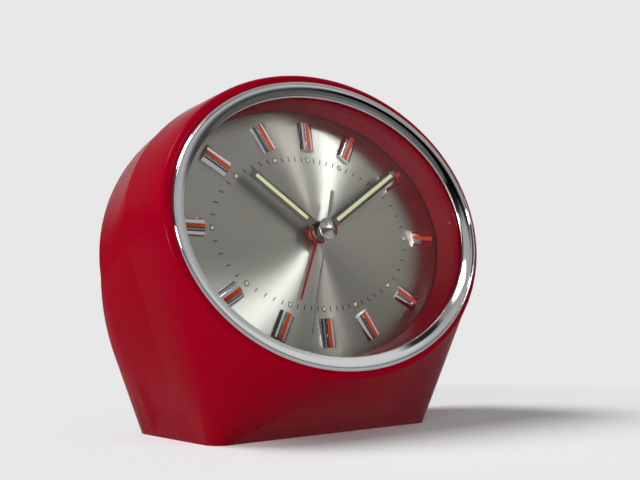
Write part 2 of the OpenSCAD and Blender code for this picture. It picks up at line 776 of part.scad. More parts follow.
module cannon_pinion() color("goldenrod") face() difference() {
    union() {
        pinion(cannon_n, minute_m, 0, minute_wheel_y - 0.2, 1.2);
        rod(cannon_r, minute_hand_y - 0.2, minute_wheel_y - minute_hand_y + 0.4);
    }
    rod(centre_r + press, minute_hand_y - 1, 14);
}

module minute_wheel() color("goldenrod") face() station(minute_p) difference() {
    union() {
        wheel(minute_n, minute_m, minute_turn, minute_wheel_y, wheel_t, 2.6);
        pinion(minute_pinion_n, hour_m, minute_turn, hour_wheel_y - 0.2, 2);
    }
    rod(0.8 + run_fit, hour_wheel_y - 1, 4);
}

module hour_wheel() color("goldenrod") face() difference() {
    union() {
        wheel(hour_n, hour_m, hour_turn, hour_wheel_y, wheel_t, 3.4);
        rod(hour_r, hour_hand_y - 0.1, hour_wheel_y - hour_hand_y + 0.2);
    }
    rod(hour_bore, hour_hand_y - 1, 12);
}

module alarm_wheel() color("goldenrod") face() difference() {
    union() {
        wheel(alarm_n, alarm_m, 0, alarm_wheel_y, wheel_t, 4.2, 5);
        rod(alarm_r, alarm_hand_y - 0.1, alarm_wheel_y - alarm_hand_y + 0.2);
    }
    rod(alarm_bore, alarm_hand_y - 1, 12);
}

// Setting arbor: pinion in front, shaft back through both plates and the cover
set_r = 1;

module setting_arbor(p, n, m, turn, y) color("lightgray") face() station(p) {
    pinion(n, m, turn, y - 0.2, 1.2);
    rod(set_r, y, pan_rear + 4 - y);
    rod(set_r + 0.6, front_back + 0.3, 1.2);
}

module set_arbor() setting_arbor(set_p, cannon_n, minute_m, set_turn, minute_wheel_y);

module alarm_set_arbor() setting_arbor(alarm_set_p, alarm_pinion_n, alarm_m, alarm_set_turn, alarm_wheel_y);

// Fluted knob with a turned waist
module setting_knob(p) color("silver") face() station(p) difference() {
    union() {
        rod(knob_d / 2 - 1.2, pan_rear + 0.8, 2);
        slab(pan_rear + 1.8, knob_l - 1.8) polygon([
            for (i = [0:47]) polar(knob_d / 2 - (i % 4 < 2 ? 0 : 0.35), 7.5 * i)
        ]);
    }
    rod(set_r + press, pan_rear - 1, 5.2);
}

module set_knob() setting_knob(set_p);

module alarm_set_knob() setting_knob(alarm_set_p);

// Leaf on the front plate that lifts against the hour wheel and holds the hammer
module alarm_trip_spring() color("lightgray") face() {
    slab(front_y - 0.4, 0.4) hull() {
        translate([9, -19]) circle(r = 2);
        translate([4.6, -4.6]) circle(r = 0.8);
    }
    station([4.6, -4.6]) rod(0.7, hour_wheel_y + wheel_t + 0.3, front_y - hour_wheel_y - wheel_t - 0.5);
}

// Alarm strike

module alarm_star_wheel() color("goldenrod") face() station(star_p) {
    arbor();
    slab(star_wheel_y, wheel_t) rotate(star_turn) saw_teeth(star_teeth, star_r, star_r - 1.4);
    pinion(star_pinion_n, strike_m, star_turn, strike_wheel_y - 0.2, pinion_t);
}

module hammer() color("steelblue") face() {
    pins = [for (x = [-1, 1]) star_p + polar(star_r + 1.1, 300 + 40 * x)];
    station(hammer_p) arbor();
    for (p = pins) station(p) rod(0.35, star_wheel_y - 0.2, hammer_arm_y - star_wheel_y + 0.4);
    slab(hammer_arm_y, 1) {
        hull() for (p = concat(pins, [hammer_p])) translate(p) circle(r = 0.8);
        hull() for (p = [hammer_p, hammer_head_p]) translate(p) circle(r = 0.8);
    }
    station(hammer_head_p) rod(0.65, hammer_arm_y + 0.3, pan_rear + 4 - hammer_arm_y);
    station(hammer_head_p) rod(hammer_head_r, pan_rear + 0.5, 4);
}

module stop_button() color("silver") face() station(stop_p) {
    rod(1.2, hammer_arm_y + 2.4, pan_rear + stop_travel + 1 - hammer_arm_y - 2.4);
    rod(3, pan_rear + stop_travel + 0.2, 4);
}

// Frame of the movement

module plate_outline() hull() {
    for (p = pillars_at) translate(p) circle(r = 5);
    translate(balance_p) circle(r = balance_r + 1);
}

train_pivots = [third_p, escape_p, pallet_p, balance_p, star_p, hammer_p];

module plate_holes(y) {
    for (p = train_pivots) station(p) rod(pivot_r + run_fit, y - 1, plate_t + 2);
    for (p = [set_p, alarm_set_p]) station(p) rod(set_r + run_fit, y - 1, plate_t + 2);
    for (p = pillars_at) station(p) rod(1.25, y - 1, plate_t + 2);
}

module front_plate() color("gold") face() {
    difference() {
        union() {
            slab(front_y, plate_t) {
                plate_outline();
                for (p = ears_at) hull() {
                    translate(p) circle(r = 3.2);
                    translate(p - [7 * sign(p.x), 0]) circle(r = 3.2);
                }
            }
            rod(2, front_y - 0.3, plate_t + 1);
        }
        plate_holes(front_y);
        for (p = [great_p, strike_p]) station(p) rod(1.4 + run_fit, front_y - 1, plate_t + 2);
        for (p = ears_at) station(p) rod(1.15, front_y - 1, plate_t + 2);
        for (p = feet_at) station(p) rod(0.8 + run_fit, front_y - 1, plate_t + 2);
        rod(centre_r + run_fit, front_y - 2, plate_t + 4);
    }
    station(minute_p) rod(0.8, hour_wheel_y - 0.3, front_y - hour_wheel_y + 0.5);
}

module back_plate() color("gold") face() {
    difference() {
        union() {
            slab(back_y, plate_t) plate_outline();
            station(balance_p) rod(1.6, back_rear - 0.1, 1.2);
        }
        plate_holes(back_y);
        station(balance_p) rod(pivot_r + run_fit, back_y - 1, plate_t + 4);
        rod(fourth_r + run_fit, back_y - 1, plate_t + 2);
        for (p = [great_p, strike_p]) station(p) rod(winding_end_r + run_fit, back_y - 1, plate_t + 2);
        station(stop_p) rod(1.2 + run_fit, back_y - 1, plate_t + 2);
    }
    station(balance_p - [hair_out + 0.4, 0]) rod(0.35, hairspring_y - 0.2, back_y - hairspring_y + 0.3);
}

module pillars() color("lightgray") face() for (p = pillars_at) station(p) {
    rod(pillar_r, front_back, plate_gap);
    rod(1.2, front_y - 1.6, plate_gap + 2 * plate_t + 3.2);
}

module pillar_nuts() color("lightgray") face() for (p = pillars_at, y = [front_y - 1.3, back_rear])
    station(p) difference() {
        slab(y, 1.3) circle(r = 2.4, $fn = 6);
        rod(1.2 + press, y - 1, 4);
    }

module movement_screws() color("lightgray") face() for (p = ears_at) station(p) {
    difference() {
        rod(2.2, front_back, 1.2);
        translate([-3, front_back + 0.7, -0.3]) cube([6, 1, 0.6]);
    }
    rod(1, ledge_y + 1.4, front_back - ledge_y - 1.3);
}

// Regulator: a ring on the balance boss with a tail that shows in the cover's slot
module regulator() color("lightgray") face() station(balance_p) {
    difference() {
        union() {
            rod(2.6, back_rear + 0.2, wheel_t);
            translate([-0.9, back_rear + 0.2, 0]) cube([1.8, wheel_t, regulator_l]);
        }
        rod(1.6 + run_fit, back_rear - 1, 4);
    }
    translate([0, 0, regulator_l]) rod(0.7, back_rear + 0.2, pan_rear + 1.4 - back_rear);
}

module rear_cover() color("darkgray") difference() {
    union() {
        upright_oval(cover_a, cover_b, rear_y, cover_t);
        intersection() {
            face() station(pan_centre) rod(pan_r + cover_t, pan_y, 30);
            translate([-100, rear_y - 100, -50]) cube([200, 100, 200]);
        }
    }
    face() station(pan_centre) rod(pan_r, pan_rear, 40);
    face() for (p = [great_p, strike_p]) station(p) rod(winding_end_r + 0.3, pan_y - 1, 4);
    face() for (p = [set_p, alarm_set_p]) station(p) rod(set_r + 0.3, pan_y - 1, 4);
    face() station(stop_p) rod(1.2 + 0.3, pan_y - 1, 4);
    face() station(balance_p) slab(pan_y - 1, 4) polygon(concat(
        [for (q = [-30:6:30]) polar(regulator_l + 1.1, 90 + q)],
        [for (q = [30:-6:-30]) polar(regulator_l - 1.1, 90 + q)]
    ));
    cover_screw_places() rod(cover_screw_r + 0.15, -3, 6);
}

module cover_screws() color("lightgray") cover_screw_places() {
    difference() {
        rod(1.5, 0, 0.7);
        translate([-2, 0.4, -0.2]) cube([4, 1, 0.4]);
    }
    rod(cover_screw_r, -5, 5.1);
}

case_shell();
bezel();
crystal();
reflector_ring();
dial();
hour_markers();
marker_inlays();
alarm_hand();
hour_hand();
hour_hand_lume();
minute_hand();
minute_hand_lume();
seconds_hand();
hub_cap();
front_plate();
back_plate();
pillars();
pillar_nuts();
movement_screws();
time_mainspring();
time_arbor();
time_great_wheel();
time_click();
time_key();
centre_wheel();
third_wheel();
fourth_wheel();
escape_wheel();
pallet_lever();
balance_wheel();
hairspring();
regulator();
cannon_pinion();
minute_wheel();
hour_wheel();
set_arbor();
set_knob();
alarm_wheel();
alarm_set_arbor();
alarm_set_knob();
alarm_trip_spring();
alarm_mainspring();
alarm_arbor();
alarm_great_wheel();
alarm_click();
alarm_key();
alarm_star_wheel();
hammer();
stop_button();
rear_cover();
cover_screws();
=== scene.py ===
import json
import math

import bmesh
import bpy
from mathutils import Matrix, Vector


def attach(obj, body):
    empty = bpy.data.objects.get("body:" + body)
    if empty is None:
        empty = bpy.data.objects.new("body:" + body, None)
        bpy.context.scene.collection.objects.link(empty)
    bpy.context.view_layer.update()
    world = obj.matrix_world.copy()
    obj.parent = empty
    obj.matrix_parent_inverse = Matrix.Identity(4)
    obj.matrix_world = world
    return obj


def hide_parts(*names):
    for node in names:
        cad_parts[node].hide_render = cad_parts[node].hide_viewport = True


mm = 0.001

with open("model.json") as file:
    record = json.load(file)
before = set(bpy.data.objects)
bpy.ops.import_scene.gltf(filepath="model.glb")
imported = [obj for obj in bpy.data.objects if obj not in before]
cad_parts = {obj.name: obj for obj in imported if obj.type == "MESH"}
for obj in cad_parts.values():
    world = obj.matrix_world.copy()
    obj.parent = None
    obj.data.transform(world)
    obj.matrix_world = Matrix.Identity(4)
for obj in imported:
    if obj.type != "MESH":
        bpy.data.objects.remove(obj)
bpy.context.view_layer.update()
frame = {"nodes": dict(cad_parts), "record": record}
nodes = frame["nodes"]
bodies = frame["record"]["behaviour"]["bodies"]
bodyOf = {node: body for body, members in bodies.items() for node in members}
print("frame loaded:", len(nodes), "nodes")

# the face leans back, so what sits on it is drawn upright and then turned with this
face = {"centre": (0.0, -14.1, 56.0), "lean": 9.0}
faceCentre = Vector(face["centre"]) * mm
onFace = Matrix.Translation(faceCentre) @ Matrix.Rotation(math.radians(-face["lean"]), 4, "X")
faceNormal = (onFace.to_3x3() @ Vector((0, -1, 0))).normalized()


# node helpers

# what a socket is given is a link from another node or a plain value
def feed(tree, socket, value):
    if isinstance(value, bpy.types.NodeSocket):
        tree.links.new(value, socket)
    else:
        socket.default_value = value


def newGroup(name, inputs, outputs):
    group = bpy.data.node_groups.new(name, "ShaderNodeTree")
    for label, kind, value in inputs:
        socket = group.interface.new_socket(name=label, in_out="INPUT", socket_type=kind)
        if value is not None:
            socket.default_value = value
    for label in outputs:
        group.interface.new_socket(name=label, in_out="OUTPUT", socket_type="NodeSocketFloat")
    return group, group.nodes.new("NodeGroupInput"), group.nodes.new("NodeGroupOutput")


def addNoise(tree, vector, scale, detail=3.0, roughness=0.5):
    noise = tree.nodes.new("ShaderNodeTexNoise")
    labels = ("Vector", "Scale", "Detail", "Roughness")
    for label, value in zip(labels, (vector, scale, detail, roughness)):
        feed(tree, noise.inputs[label], value)
    return noise.outputs["Fac"]


def addMath(tree, operation, *values):
    node = tree.nodes.new("ShaderNodeMath")
    node.operation = operation
    for socket, value in zip(node.inputs, values):
        feed(tree, socket, value)
    return node.outputs[0]


def addVector(tree, operation, *values):
    node = tree.nodes.new("ShaderNodeVectorMath")
    node.operation = operation
    for socket, value in zip(node.inputs, values):
        feed(tree, socket, value)
    measured = operation in ("DOT_PRODUCT", "LENGTH", "DISTANCE")
    return node.outputs["Value" if measured else "Vector"]


def addRange(tree, value, low, high, toLow=0.0, toHigh=1.0, smooth=False):
    node = tree.nodes.new("ShaderNodeMapRange")
    node.interpolation_type = "SMOOTHSTEP" if smooth else "LINEAR"
    labels = ("Value", "From Min", "From Max", "To Min", "To Max")
    for label, given in zip(labels, (value, low, high, toLow, toHigh)):
        feed(tree, node.inputs[label], given)
    return node.outputs["Result"]


def addMix(tree, factor, first, second):
    node = tree.nodes.new("ShaderNodeMix")
    node.data_type = "RGBA"
    feed(tree, node.inputs[0], factor)
    feed(tree, node.inputs[6], (*first, 1.0))  # the two colour sockets
    feed(tree, node.inputs[7], (*second, 1.0))
    return node.outputs[2]


def addBump(tree, height, strength, distance):
    bump = tree.nodes.new("ShaderNodeBump")
    for label, value in (("Strength", strength), ("Distance", distance), ("Height", height)):
        feed(tree, bump.inputs[label], value)
    return bump.outputs["Normal"]


def addShaderMix(tree, share, first, second):
    mix = tree.nodes.new("ShaderNodeMixShader")
    for socket, given in zip(mix.inputs, (share, first, second)):
        feed(tree, socket, given)
    return mix.outputs[0]


def newMaterial(name):
    mat = bpy.data.materials.new(name)
    mat.use_nodes = True
    tree = mat.node_tree
    place = tree.nodes.new("ShaderNodeTexCoord").outputs["Object"]
    return mat, tree, tree.nodes["Principled BSDF"], place


def useGroup(tree, group, vector, **values):
    node = tree.nodes.new("ShaderNodeGroup")
    node.node_tree = group
    feed(tree, node.inputs["Vector"], vector)
    for label, value in values.items():
        feed(tree, node.inputs[label], value)
    return node.outputs


# moulded plastic and paint: slow drift of the shade, patches that are duller, a faint skin
moulded = {
    "scale": 30.0, "drift": 2.0, "dullFiner": 7.0, "dull": (5.0, 0.6), "dullSpan": (0.42, 0.72),
    "skinFiner": 22.0, "skin": 2.0, "depth": 0.00002,
}


def makeMouldedSkin():
    group, start, end = newGroup(
        "mouldedSkin",
        [("Vector", "NodeSocketVector", None), ("Scale", "NodeSocketFloat", moulded["scale"])],
        ["Drift", "Dull", "Skin"],
    )
    vector, scale = start.outputs["Vector"], start.outputs["Scale"]
    feed(group, end.inputs["Drift"], addNoise(group, vector, scale, moulded["drift"]))
    finer = addMath(group, "MULTIPLY", scale, moulded["dullFiner"])
    dull = addNoise(group, vector, finer, *moulded["dull"])
    feed(group, end.inputs["Dull"], addRange(group, dull, *moulded["dullSpan"]))
    finest = addMath(group, "MULTIPLY", scale, moulded["skinFiner"])
    feed(group, end.inputs["Skin"], addNoise(group, vector, finest, moulded["skin"]))
    return group


# rubbed metal: long fine lines along one axis and a few wider clouded patches
rubbed = {
    "scale": 400.0, "stretch": (1.0, 0.04, 1.0), "line": (4.0, 0.6), "cloudCoarser": 0.08,
    "cloud": (4.0, 0.6), "cloudSpan": (0.35, 0.7), "share": 0.5, "roughSpan": (0.2, 0.8),
    "depth": 0.00001,
}


def makeRubbedMetal():
    group, start, end = newGroup(
        "rubbedMetal",
        [("Vector", "NodeSocketVector", None), ("Scale", "NodeSocketFloat", rubbed["scale"]),
         ("Stretch", "NodeSocketVector", rubbed["stretch"])],
        ["Line", "Cloud"],
    )
    vector, scale = start.outputs["Vector"], start.outputs["Scale"]
    stretched = addVector(group, "MULTIPLY", vector, start.outputs["Stretch"])
    feed(group, end.inputs["Line"], addNoise(group, stretched, scale, *rubbed["line"]))
    slow = addMath(group, "MULTIPLY", scale, rubbed["cloudCoarser"])
    cloud = addNoise(group, vector, slow, *rubbed["cloud"])
    feed(group, end.inputs["Cloud"], addRange(group, cloud, *rubbed["cloudSpan"]))
    return group


mouldedSkin = makeMouldedSkin()
rubbedMetal = makeRubbedMetal()


def makePlastic(name, dark, light, rough, skin, scale=moulded["scale"], gloss=0.5):
    mat, tree, shader, place = newMaterial(name)
    parts = useGroup(tree, mouldedSkin, place, Scale=scale)
    colour = addMix(tree, parts["Drift"], dark, light)
    feed(tree, shader.inputs["Base Color"], colour)
    feed(tree, shader.inputs["Roughness"], addRange(tree, parts["Dull"], 0.0, 1.0, *rough))
    feed(tree, shader.inputs["Normal"], addBump(tree, parts["Skin"], skin, moulded["depth"]))
    shader.inputs["Specular IOR Level"].default_value = gloss
    return mat


def makeMetal(name, dark, light, rough, scale, stretch, grain):
    mat, tree, shader, place = newMaterial(name)
    parts = useGroup(tree, rubbedMetal, place, Scale=scale, Stretch=stretch)
    colour = addMix(tree, parts["Cloud"], light, dark)
    feed(tree, shader.inputs["Base Color"], colour)
    clouded = addMath(tree, "MULTIPLY", parts["Cloud"], 1.0 - rubbed["share"])
    mixed = addMath(tree, "MULTIPLY_ADD", parts["Line"], rubbed["share"], clouded)
    worn = addRange(tree, mixed, *rubbed["roughSpan"], *rough)
    feed(tree, shader.inputs["Roughness"], worn)
    feed(tree, shader.inputs["Normal"], addBump(tree, parts["Line"], grain, rubbed["depth"]))
    shader.inputs["Metallic"].default_value = 1.0
    return mat


plastics = {
    "caseRed": {
        "dark": (0.24, 0.0, 0.008), "light": (0.27, 0.0005, 0.0105),
        "rough": (0.16, 0.24), "skin": 0.03, "gloss": 0.018,
    },
    # the inner wall is the case's red plastic painted darker: painted shade for the recess behind
    # the bezel
    "wallRedPaintedShade": {
        "dark": (0.15, 0.0, 0.006), "light": (0.175, 0.001, 0.008),
        "rough": (0.16, 0.24), "skin": 0.02, "gloss": 0.03,
    },
    "handRed": {
        "dark": (0.2, 0.005, 0.006), "light": (0.26, 0.008, 0.009),
        "rough": (0.3, 0.42), "skin": 0.1, "scale": 260.0, "gloss": 0.3,
    },
    "markerOrange": {
        "dark": (0.48, 0.05, 0.008), "light": (0.6, 0.07, 0.012),
        "rough": (0.2, 0.34), "skin": 0.08, "scale": 200.0, "gloss": 0.3,
    },
    "luminousPaint": {
        "dark": (0.66, 0.7, 0.34), "light": (0.76, 0.8, 0.44),
        "rough": (0.55, 0.75), "skin": 0.5, "scale": 300.0,
    },
    "creamDot": {
        "dark": (0.58, 0.55, 0.42), "light": (0.7, 0.67, 0.55),
        "rough": (0.5, 0.7), "skin": 0.4, "scale": 300.0,
    },
    "printBlack": {
        "dark": (0.012, 0.012, 0.012), "light": (0.03, 0.028, 0.026),
        "rough": (0.45, 0.6), "skin": 0.1, "scale": 300.0,
    },
}
metals = {
    "chromePlate": {
        "dark": (0.8, 0.8, 0.81), "light": (0.87, 0.87, 0.88),
        "rough": (0.035, 0.09), "scale": 90.0, "stretch": (1, 1, 1), "grain": 0.01,
    },
    # the hands' chrome is painted dark: a painted dark reflection in place of the dim room that
    # bright chrome would mirror
    "handChromePaintedDarkReflection": {
        "dark": (0.17, 0.165, 0.145), "light": (0.27, 0.26, 0.24),
        "rough": (0.08, 0.2), "scale": 900.0, "stretch": (1, 1, 0.1), "grain": 0.06,
    },
    "satinSilver": {
        "dark": (0.32, 0.31, 0.3), "light": (0.44, 0.43, 0.42),
        "rough": (0.25, 0.4), "scale": 900.0, "stretch": (1, 1, 0.1), "grain": 0.1,
    },
    "brassSheet": {
        "dark": (0.6, 0.42, 0.16), "light": (0.72, 0.52, 0.22),
        "rough": (0.2, 0.38), "scale": 700.0, "stretch": (1, 0.2, 0.05), "grain": 0.15,
    },
    "turnedSteel": {
        "dark": (0.4, 0.4, 0.41), "light": (0.56, 0.56, 0.57),
        "rough": (0.18, 0.34), "scale": 900.0, "stretch": (0.1, 1, 0.1), "grain": 0.12,
    },
    "bluedSteel": {
        "dark": (0.07, 0.08, 0.12), "light": (0.15, 0.17, 0.24),
        "rough": (0.2, 0.36), "scale": 600.0, "stretch": (1, 0.1, 1), "grain": 0.08,
    },
    "nickelPlate": {
        "dark": (0.6, 0.58, 0.54), "light": (0.72, 0.7, 0.66),
        "rough": (0.12, 0.26), "scale": 300.0, "stretch": (1, 1, 0.2), "grain": 0.05,
    },
    "coverSteel": {
        "dark": (0.44, 0.42, 0.37), "light": (0.54, 0.52, 0.47),
        "rough": (0.26, 0.42), "scale": 500.0, "stretch": (0.04, 1, 1), "grain": 0.14,
    },
}

# brushed outwards from the centre of the face, so the shine runs along the turn
sunburst = {
    "streak": (160.0, 6.0, 0.7), "broad": (6.0, 3.0), "share": (0.65, 0.35),
    "shadeSpan": (0.35, 0.65), "roughSpan": (0.3, 0.7), "grain": 0.004, "anisotropic": 0.95,
}
brushed = {
    "dialSilver": {
        "dark": (0.53, 0.515, 0.455), "light": (0.59, 0.575, 0.515), "rough": (0.31, 0.35),
    },
    "capSilver": {
        "dark": (0.62, 0.61, 0.59), "light": (0.76, 0.75, 0.73), "rough": (0.14, 0.2),
    },
}


def makeSunburst(name, dark, light, rough):
    mat, tree, shader, place = newMaterial(name)
    away = addVector(tree, "SUBTRACT", place, faceCentre)
    turn = addVector(tree, "CROSS_PRODUCT", faceNormal, away)
    feed(tree, shader.inputs["Tangent"], turn)
    heading = addVector(tree, "NORMALIZE", turn)
    streak = addNoise(tree, heading, *sunburst["streak"])
    broad = addNoise(tree, heading, *sunburst["broad"])
    streakShare, broadShare = sunburst["share"]
    slow = addMath(tree, "MULTIPLY", broad, broadShare)
    blend = addMath(tree, "MULTIPLY_ADD", streak, streakShare, slow)
    colour = addMix(tree, addRange(tree, blend, *sunburst["shadeSpan"]), dark, light)
    feed(tree, shader.inputs["Base Color"], colour)
    worn = addRange(tree, streak, *sunburst["roughSpan"], *rough)
    feed(tree, shader.inputs["Roughness"], worn)
    bump = addBump(tree, streak, sunburst["grain"], rubbed["depth"])
    feed(tree, shader.inputs["Normal"], bump)
    shader.inputs["Metallic"].default_value = 1.0
    shader.inputs["Anisotropic"].default_value = sunburst["anisotropic"]
    return mat


# clear acrylic, a little less sharp in slow patches; lamps reach the dial through it
clear = {
    "scale": 20.0, "span": (0.3, 0.7), "rough": (0.0, 0.012), "tint": (0.99, 0.99, 0.985, 1.0),
    "bend": 1.2,
}


def makeCrystalClear():
    mat, tree, shader, place = newMaterial("crystalClear")
    parts = useGroup(tree, mouldedSkin, place, Scale=clear["scale"])
    worn = addRange(tree, parts["Drift"], *clear["span"], *clear["rough"])
    feed(tree, shader.inputs["Roughness"], worn)
    shader.inputs["Base Color"].default_value = clear["tint"]
    shader.inputs["Transmission Weight"].default_value = 1.0
    shader.inputs["IOR"].default_value = clear["bend"]
    path = tree.nodes.new("ShaderNodeLightPath").outputs
    lamp = addMath(tree, "MAXIMUM", path["Is Shadow Ray"], path["Is Diffuse Ray"])
    through = tree.nodes.new("ShaderNodeBsdfTransparent")
    mixed = addShaderMix(tree, lamp, shader.outputs[0], through.outputs[0])
    feed(tree, tree.nodes["Material Output"].inputs["Surface"], mixed)
    return mat


finish = {name: makePlastic(name, **row) for name, row in plastics.items()}
finish.update({name: makeMetal(name, **row) for name, row in metals.items()})
finish.update({name: makeSunburst(name, **row) for name, row in brushed.items()})
finish["crystalClear"] = makeCrystalClear()
print("finishes made")


# mesh helpers
edges = {"sharp": 35.0, "bevelSegments": 2, "flat": 0.2, "weldCopied": 1e-6, "weldDrawn": 1e-4}


def addPiece(bm, name, material, body, slot, replaced=(), sharp=edges["sharp"]):
    mesh = bpy.data.meshes.new(name)
    bm.to_mesh(mesh)
    bm.free()
    piece = bpy.data.objects.new(name, mesh)
    bpy.context.scene.collection.objects.link(piece)
    mesh.shade_smooth()
    mesh.set_sharp_from_angle(angle=math.radians(sharp))
    mesh.materials.append(finish[material])
    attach(piece, body)
    if replaced:
        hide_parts(*replaced)
    return piece


# a piece drawn here, with its faces turned outward
def finishPiece(bm, *facts):
    bmesh.ops.recalc_face_normals(bm, faces=bm.faces)
    return addPiece(bm, *facts)


def softenPiece(piece, width):
    bevel = piece.modifiers.new("softEdges", "BEVEL")
    bevel.width = width * mm
    bevel.segments = edges["bevelSegments"]
    bevel.limit_method = "ANGLE"
    bevel.angle_limit = math.radians(edges["sharp"])
    bevel.use_clamp_overlap = True


def copyNode(node):
    bm = bmesh.new()
    bm.from_mesh(nodes[node].data)
    bmesh.ops.remove_doubles(bm, verts=bm.verts, dist=edges["weldCopied"])
    return bm


# a CAD node whose shape is right, joined up and with softened edges
def dressNode(node, material, slot, soften):
    bm = copyNode(node)
    flat = math.radians(edges["flat"])
    bmesh.ops.dissolve_limit(bm, angle_limit=flat, verts=bm.verts, edges=bm.edges)
    piece = addPiece(bm, node + "Dressed", material, bodyOf[node], slot, (node,))
    if soften:
        softenPiece(piece, soften)


def onlyKind(geometry, kind):
    return [part for part in geometry if isinstance(part, kind)]


# one oval drawn out through rows of (half width, half height, depth in the face), in millimetres
def sweepOval(rows, segments=192, capped=False):
    bm = bmesh.new()
    width, height, depth = rows[0]
    oval = Matrix.Diagonal((width, 1, height, 1)) @ Matrix.Rotation(math.pi / 2, 4, "X")
    upright = Matrix.Translation((0, depth, 0)) @ oval
    bmesh.ops.create_circle(
        bm, cap_ends=capped, radius=1.0, segments=segments, matrix=upright
    )
    rim = list(bm.edges)
    for nextWidth, nextHeight, nextDepth in rows[1:]:
        drawn = bmesh.ops.extrude_edge_only(bm, edges=rim)["geom"]
        verts = onlyKind(drawn, bmesh.types.BMVert)
        rim = onlyKind(drawn, bmesh.types.BMEdge)
        bmesh.ops.scale(bm, vec=(nextWidth / width, 1, nextHeight / height), verts=verts)
        bmesh.ops.translate(bm, vec=(0, nextDepth - depth, 0), verts=verts)
        width, height, depth = nextWidth, nextHeight, nextDepth
    if capped:
        bmesh.ops.contextual_create(bm, geom=rim)
    bmesh.ops.remove_doubles(bm, verts=bm.verts, dist=edges["weldDrawn"])
    bmesh.ops.transform(bm, matrix=onFace @ Matrix.Scale(mm, 4), verts=bm.verts)
    return bm


# a flat section of (across, height) drawn out along a bar from low to high
def drawBar(bm, section, low, high, place):
    points = [bm.verts.new(place @ Vector((x, -h, low))) for x, h in section]
    end = bmesh.ops.contextual_create(bm, geom=points)["faces"]
    drawn = bmesh.ops.extrude_face_region(bm, geom=end, use_keep_orig=True)["geom"]
    moved = onlyKind(drawn, bmesh.types.BMVert)
    bmesh.ops.translate(bm, vec=place.to_3x3() @ Vector((0, 0, high - low)), verts=moved)


# half a section, and then its other half on the way back
def mirrored(half):
    return half + [(-x, h) for x, h in reversed(half)]


# how far an oval is from its centre, at an angle from the top
def ovalReach(oval, angle):
    return 1.0 / math.hypot(math.sin(angle) / oval[0], math.cos(angle) / oval[1])


# case: the CAD shape, with the crease behind the rim kept sharp
case = {"sharp": 28.0, "crease": -6.3, "creaseWithin": 0.01}


def buildCase():
    piece = addPiece(
        copyNode("case_shell"), "case", "caseRed", "frame", "case_red", ("case_shell",),
        case["sharp"],
    )
    verts = piece.data.vertices
    for edge in piece.data.edges:
        away = [abs(verts[i].co.y / mm - case["crease"]) for i in edge.vertices]
        if max(away) < case["creaseWithin"]:
            edge.use_edge_sharp = True


buildCase()
print("case done")

# window: bezel, crystal and the red wall down to the dial
window = {
    "bezel": (53.9, 40.9), "band": 4.1, "lip": 0.6, "stand": 11.9, "skirt": (52.0, 38.8),
    "crystal": 1.4, "rise": 1.8, "crystalSegments": 128,
    "domeSteps": [0.02, 0.1, 0.2, 0.3, 0.4, 0.5, 0.6, 0.7, 0.78, 0.85, 0.9, 0.94],
    "ring": (50.4, 37.2), "ringWall": 1.6, "ringDepth": 8.8, "taper": 1.1,
    "shadowGap": (0.35, 0.7), "edgeIn": (0.1, 0.3), "edgeOut": 0.15, "sharp": 40.0,
    # the bezel's share of the way in from its outer oval, and height above the rim
    "profile": [
        (0.0, 0.0), (0.0, 0.25), (0.012, 0.45), (0.04, 0.62), (0.07, 0.71), (0.1, 0.75),
        (0.13, 0.74), (0.16, 0.7), (0.185, 0.62), (0.2, 0.52), (0.21, 0.36), (0.225, 0.3),
        (0.25, 0.3), (0.28, 0.31), (0.32, 0.29), (0.4, 0.22), (0.5, 0.11), (0.6, -0.02),
        (0.7, -0.18), (0.8, -0.36), (0.88, -0.52), (0.93, -0.6), (0.96, -0.66),
        (0.985, -0.76), (1.0, -0.9), (1.0, -1.1),
    ],
}


def buildBezel():
    a, b = window["bezel"]
    band, stand, skirt = window["band"], window["stand"], window["skirt"]
    front = -window["ringDepth"] - window["crystal"]
    seat = window["lip"] - band
    sweep = [(a - band * s, b - band * s, -stand - h) for s, h in window["profile"]]
    sweep += [(a + seat, b + seat, front), (*skirt, front), (*skirt, -stand), sweep[0]]
    finishPiece(
        sweepOval(sweep), "bezelRing", "chromePlate", "frame", "chrome", ("bezel",),
        window["sharp"],
    )


def buildCrystal():
    a, b = window["skirt"]
    steps = window["domeSteps"]
    back = -window["ringDepth"]
    front = back - window["crystal"]

    def dome(s, depth):
        return (a * s, b * s, depth - window["rise"] * (1 - (s / steps[-1]) ** 2))

    sweep = [dome(s, front) for s in steps] + [(a, b, front), (a, b, back)]
    sweep += [dome(s, back) for s in reversed(steps)]
    finishPiece(
        sweepOval(sweep, window["crystalSegments"], capped=True), "crystalDome", "crystalClear",
        "frame", "crystal", ("crystal",), window["sharp"],
    )


def buildWall():
    gap, gapDepth = window["shadowGap"]
    edgeIn, edgeHeight = window["edgeIn"]
    low = -window["taper"] * (1 - gap / window["ringDepth"])
    front = -window["ringDepth"]
    # steps out from the ring's oval, and depths
    outline = [
        (low + gapDepth, 0.0), (low + gapDepth, -gap), (low, -gap), (-edgeIn, front + edgeHeight),
        (window["edgeOut"], front), (window["ringWall"], front), (window["ringWall"], 0.0),
        (low + gapDepth, 0.0),
    ]
    a, b = window["ring"]
    sweep = [(a + out, b + out, depth) for out, depth in outline]
    # the wall takes the darker red, painted shade for its recess
    finishPiece(
        sweepOval(sweep), "innerWall", "wallRedPaintedShade", "frame", "case_red", ("reflector_ring",)
    )


buildBezel()
buildCrystal()
buildWall()
print("window done")

# print on the dial
dialPrint = {
    "oval": (35.0, 21.9), "tick": (0.28, 0.1, 1.5), "ring": {"radius": 0.82, "lift": 0.06},
    "dot": {"radius": 0.62, "lift": 0.14}, "dotTaper": 0.86, "dotSegments": 24,
}


def dialPlace(angle, lift):
    reach = ovalReach(dialPrint["oval"], angle) * mm
    return onFace @ Matrix.Rotation(angle, 4, "Y") @ Matrix.Translation((0, -lift * mm, reach))


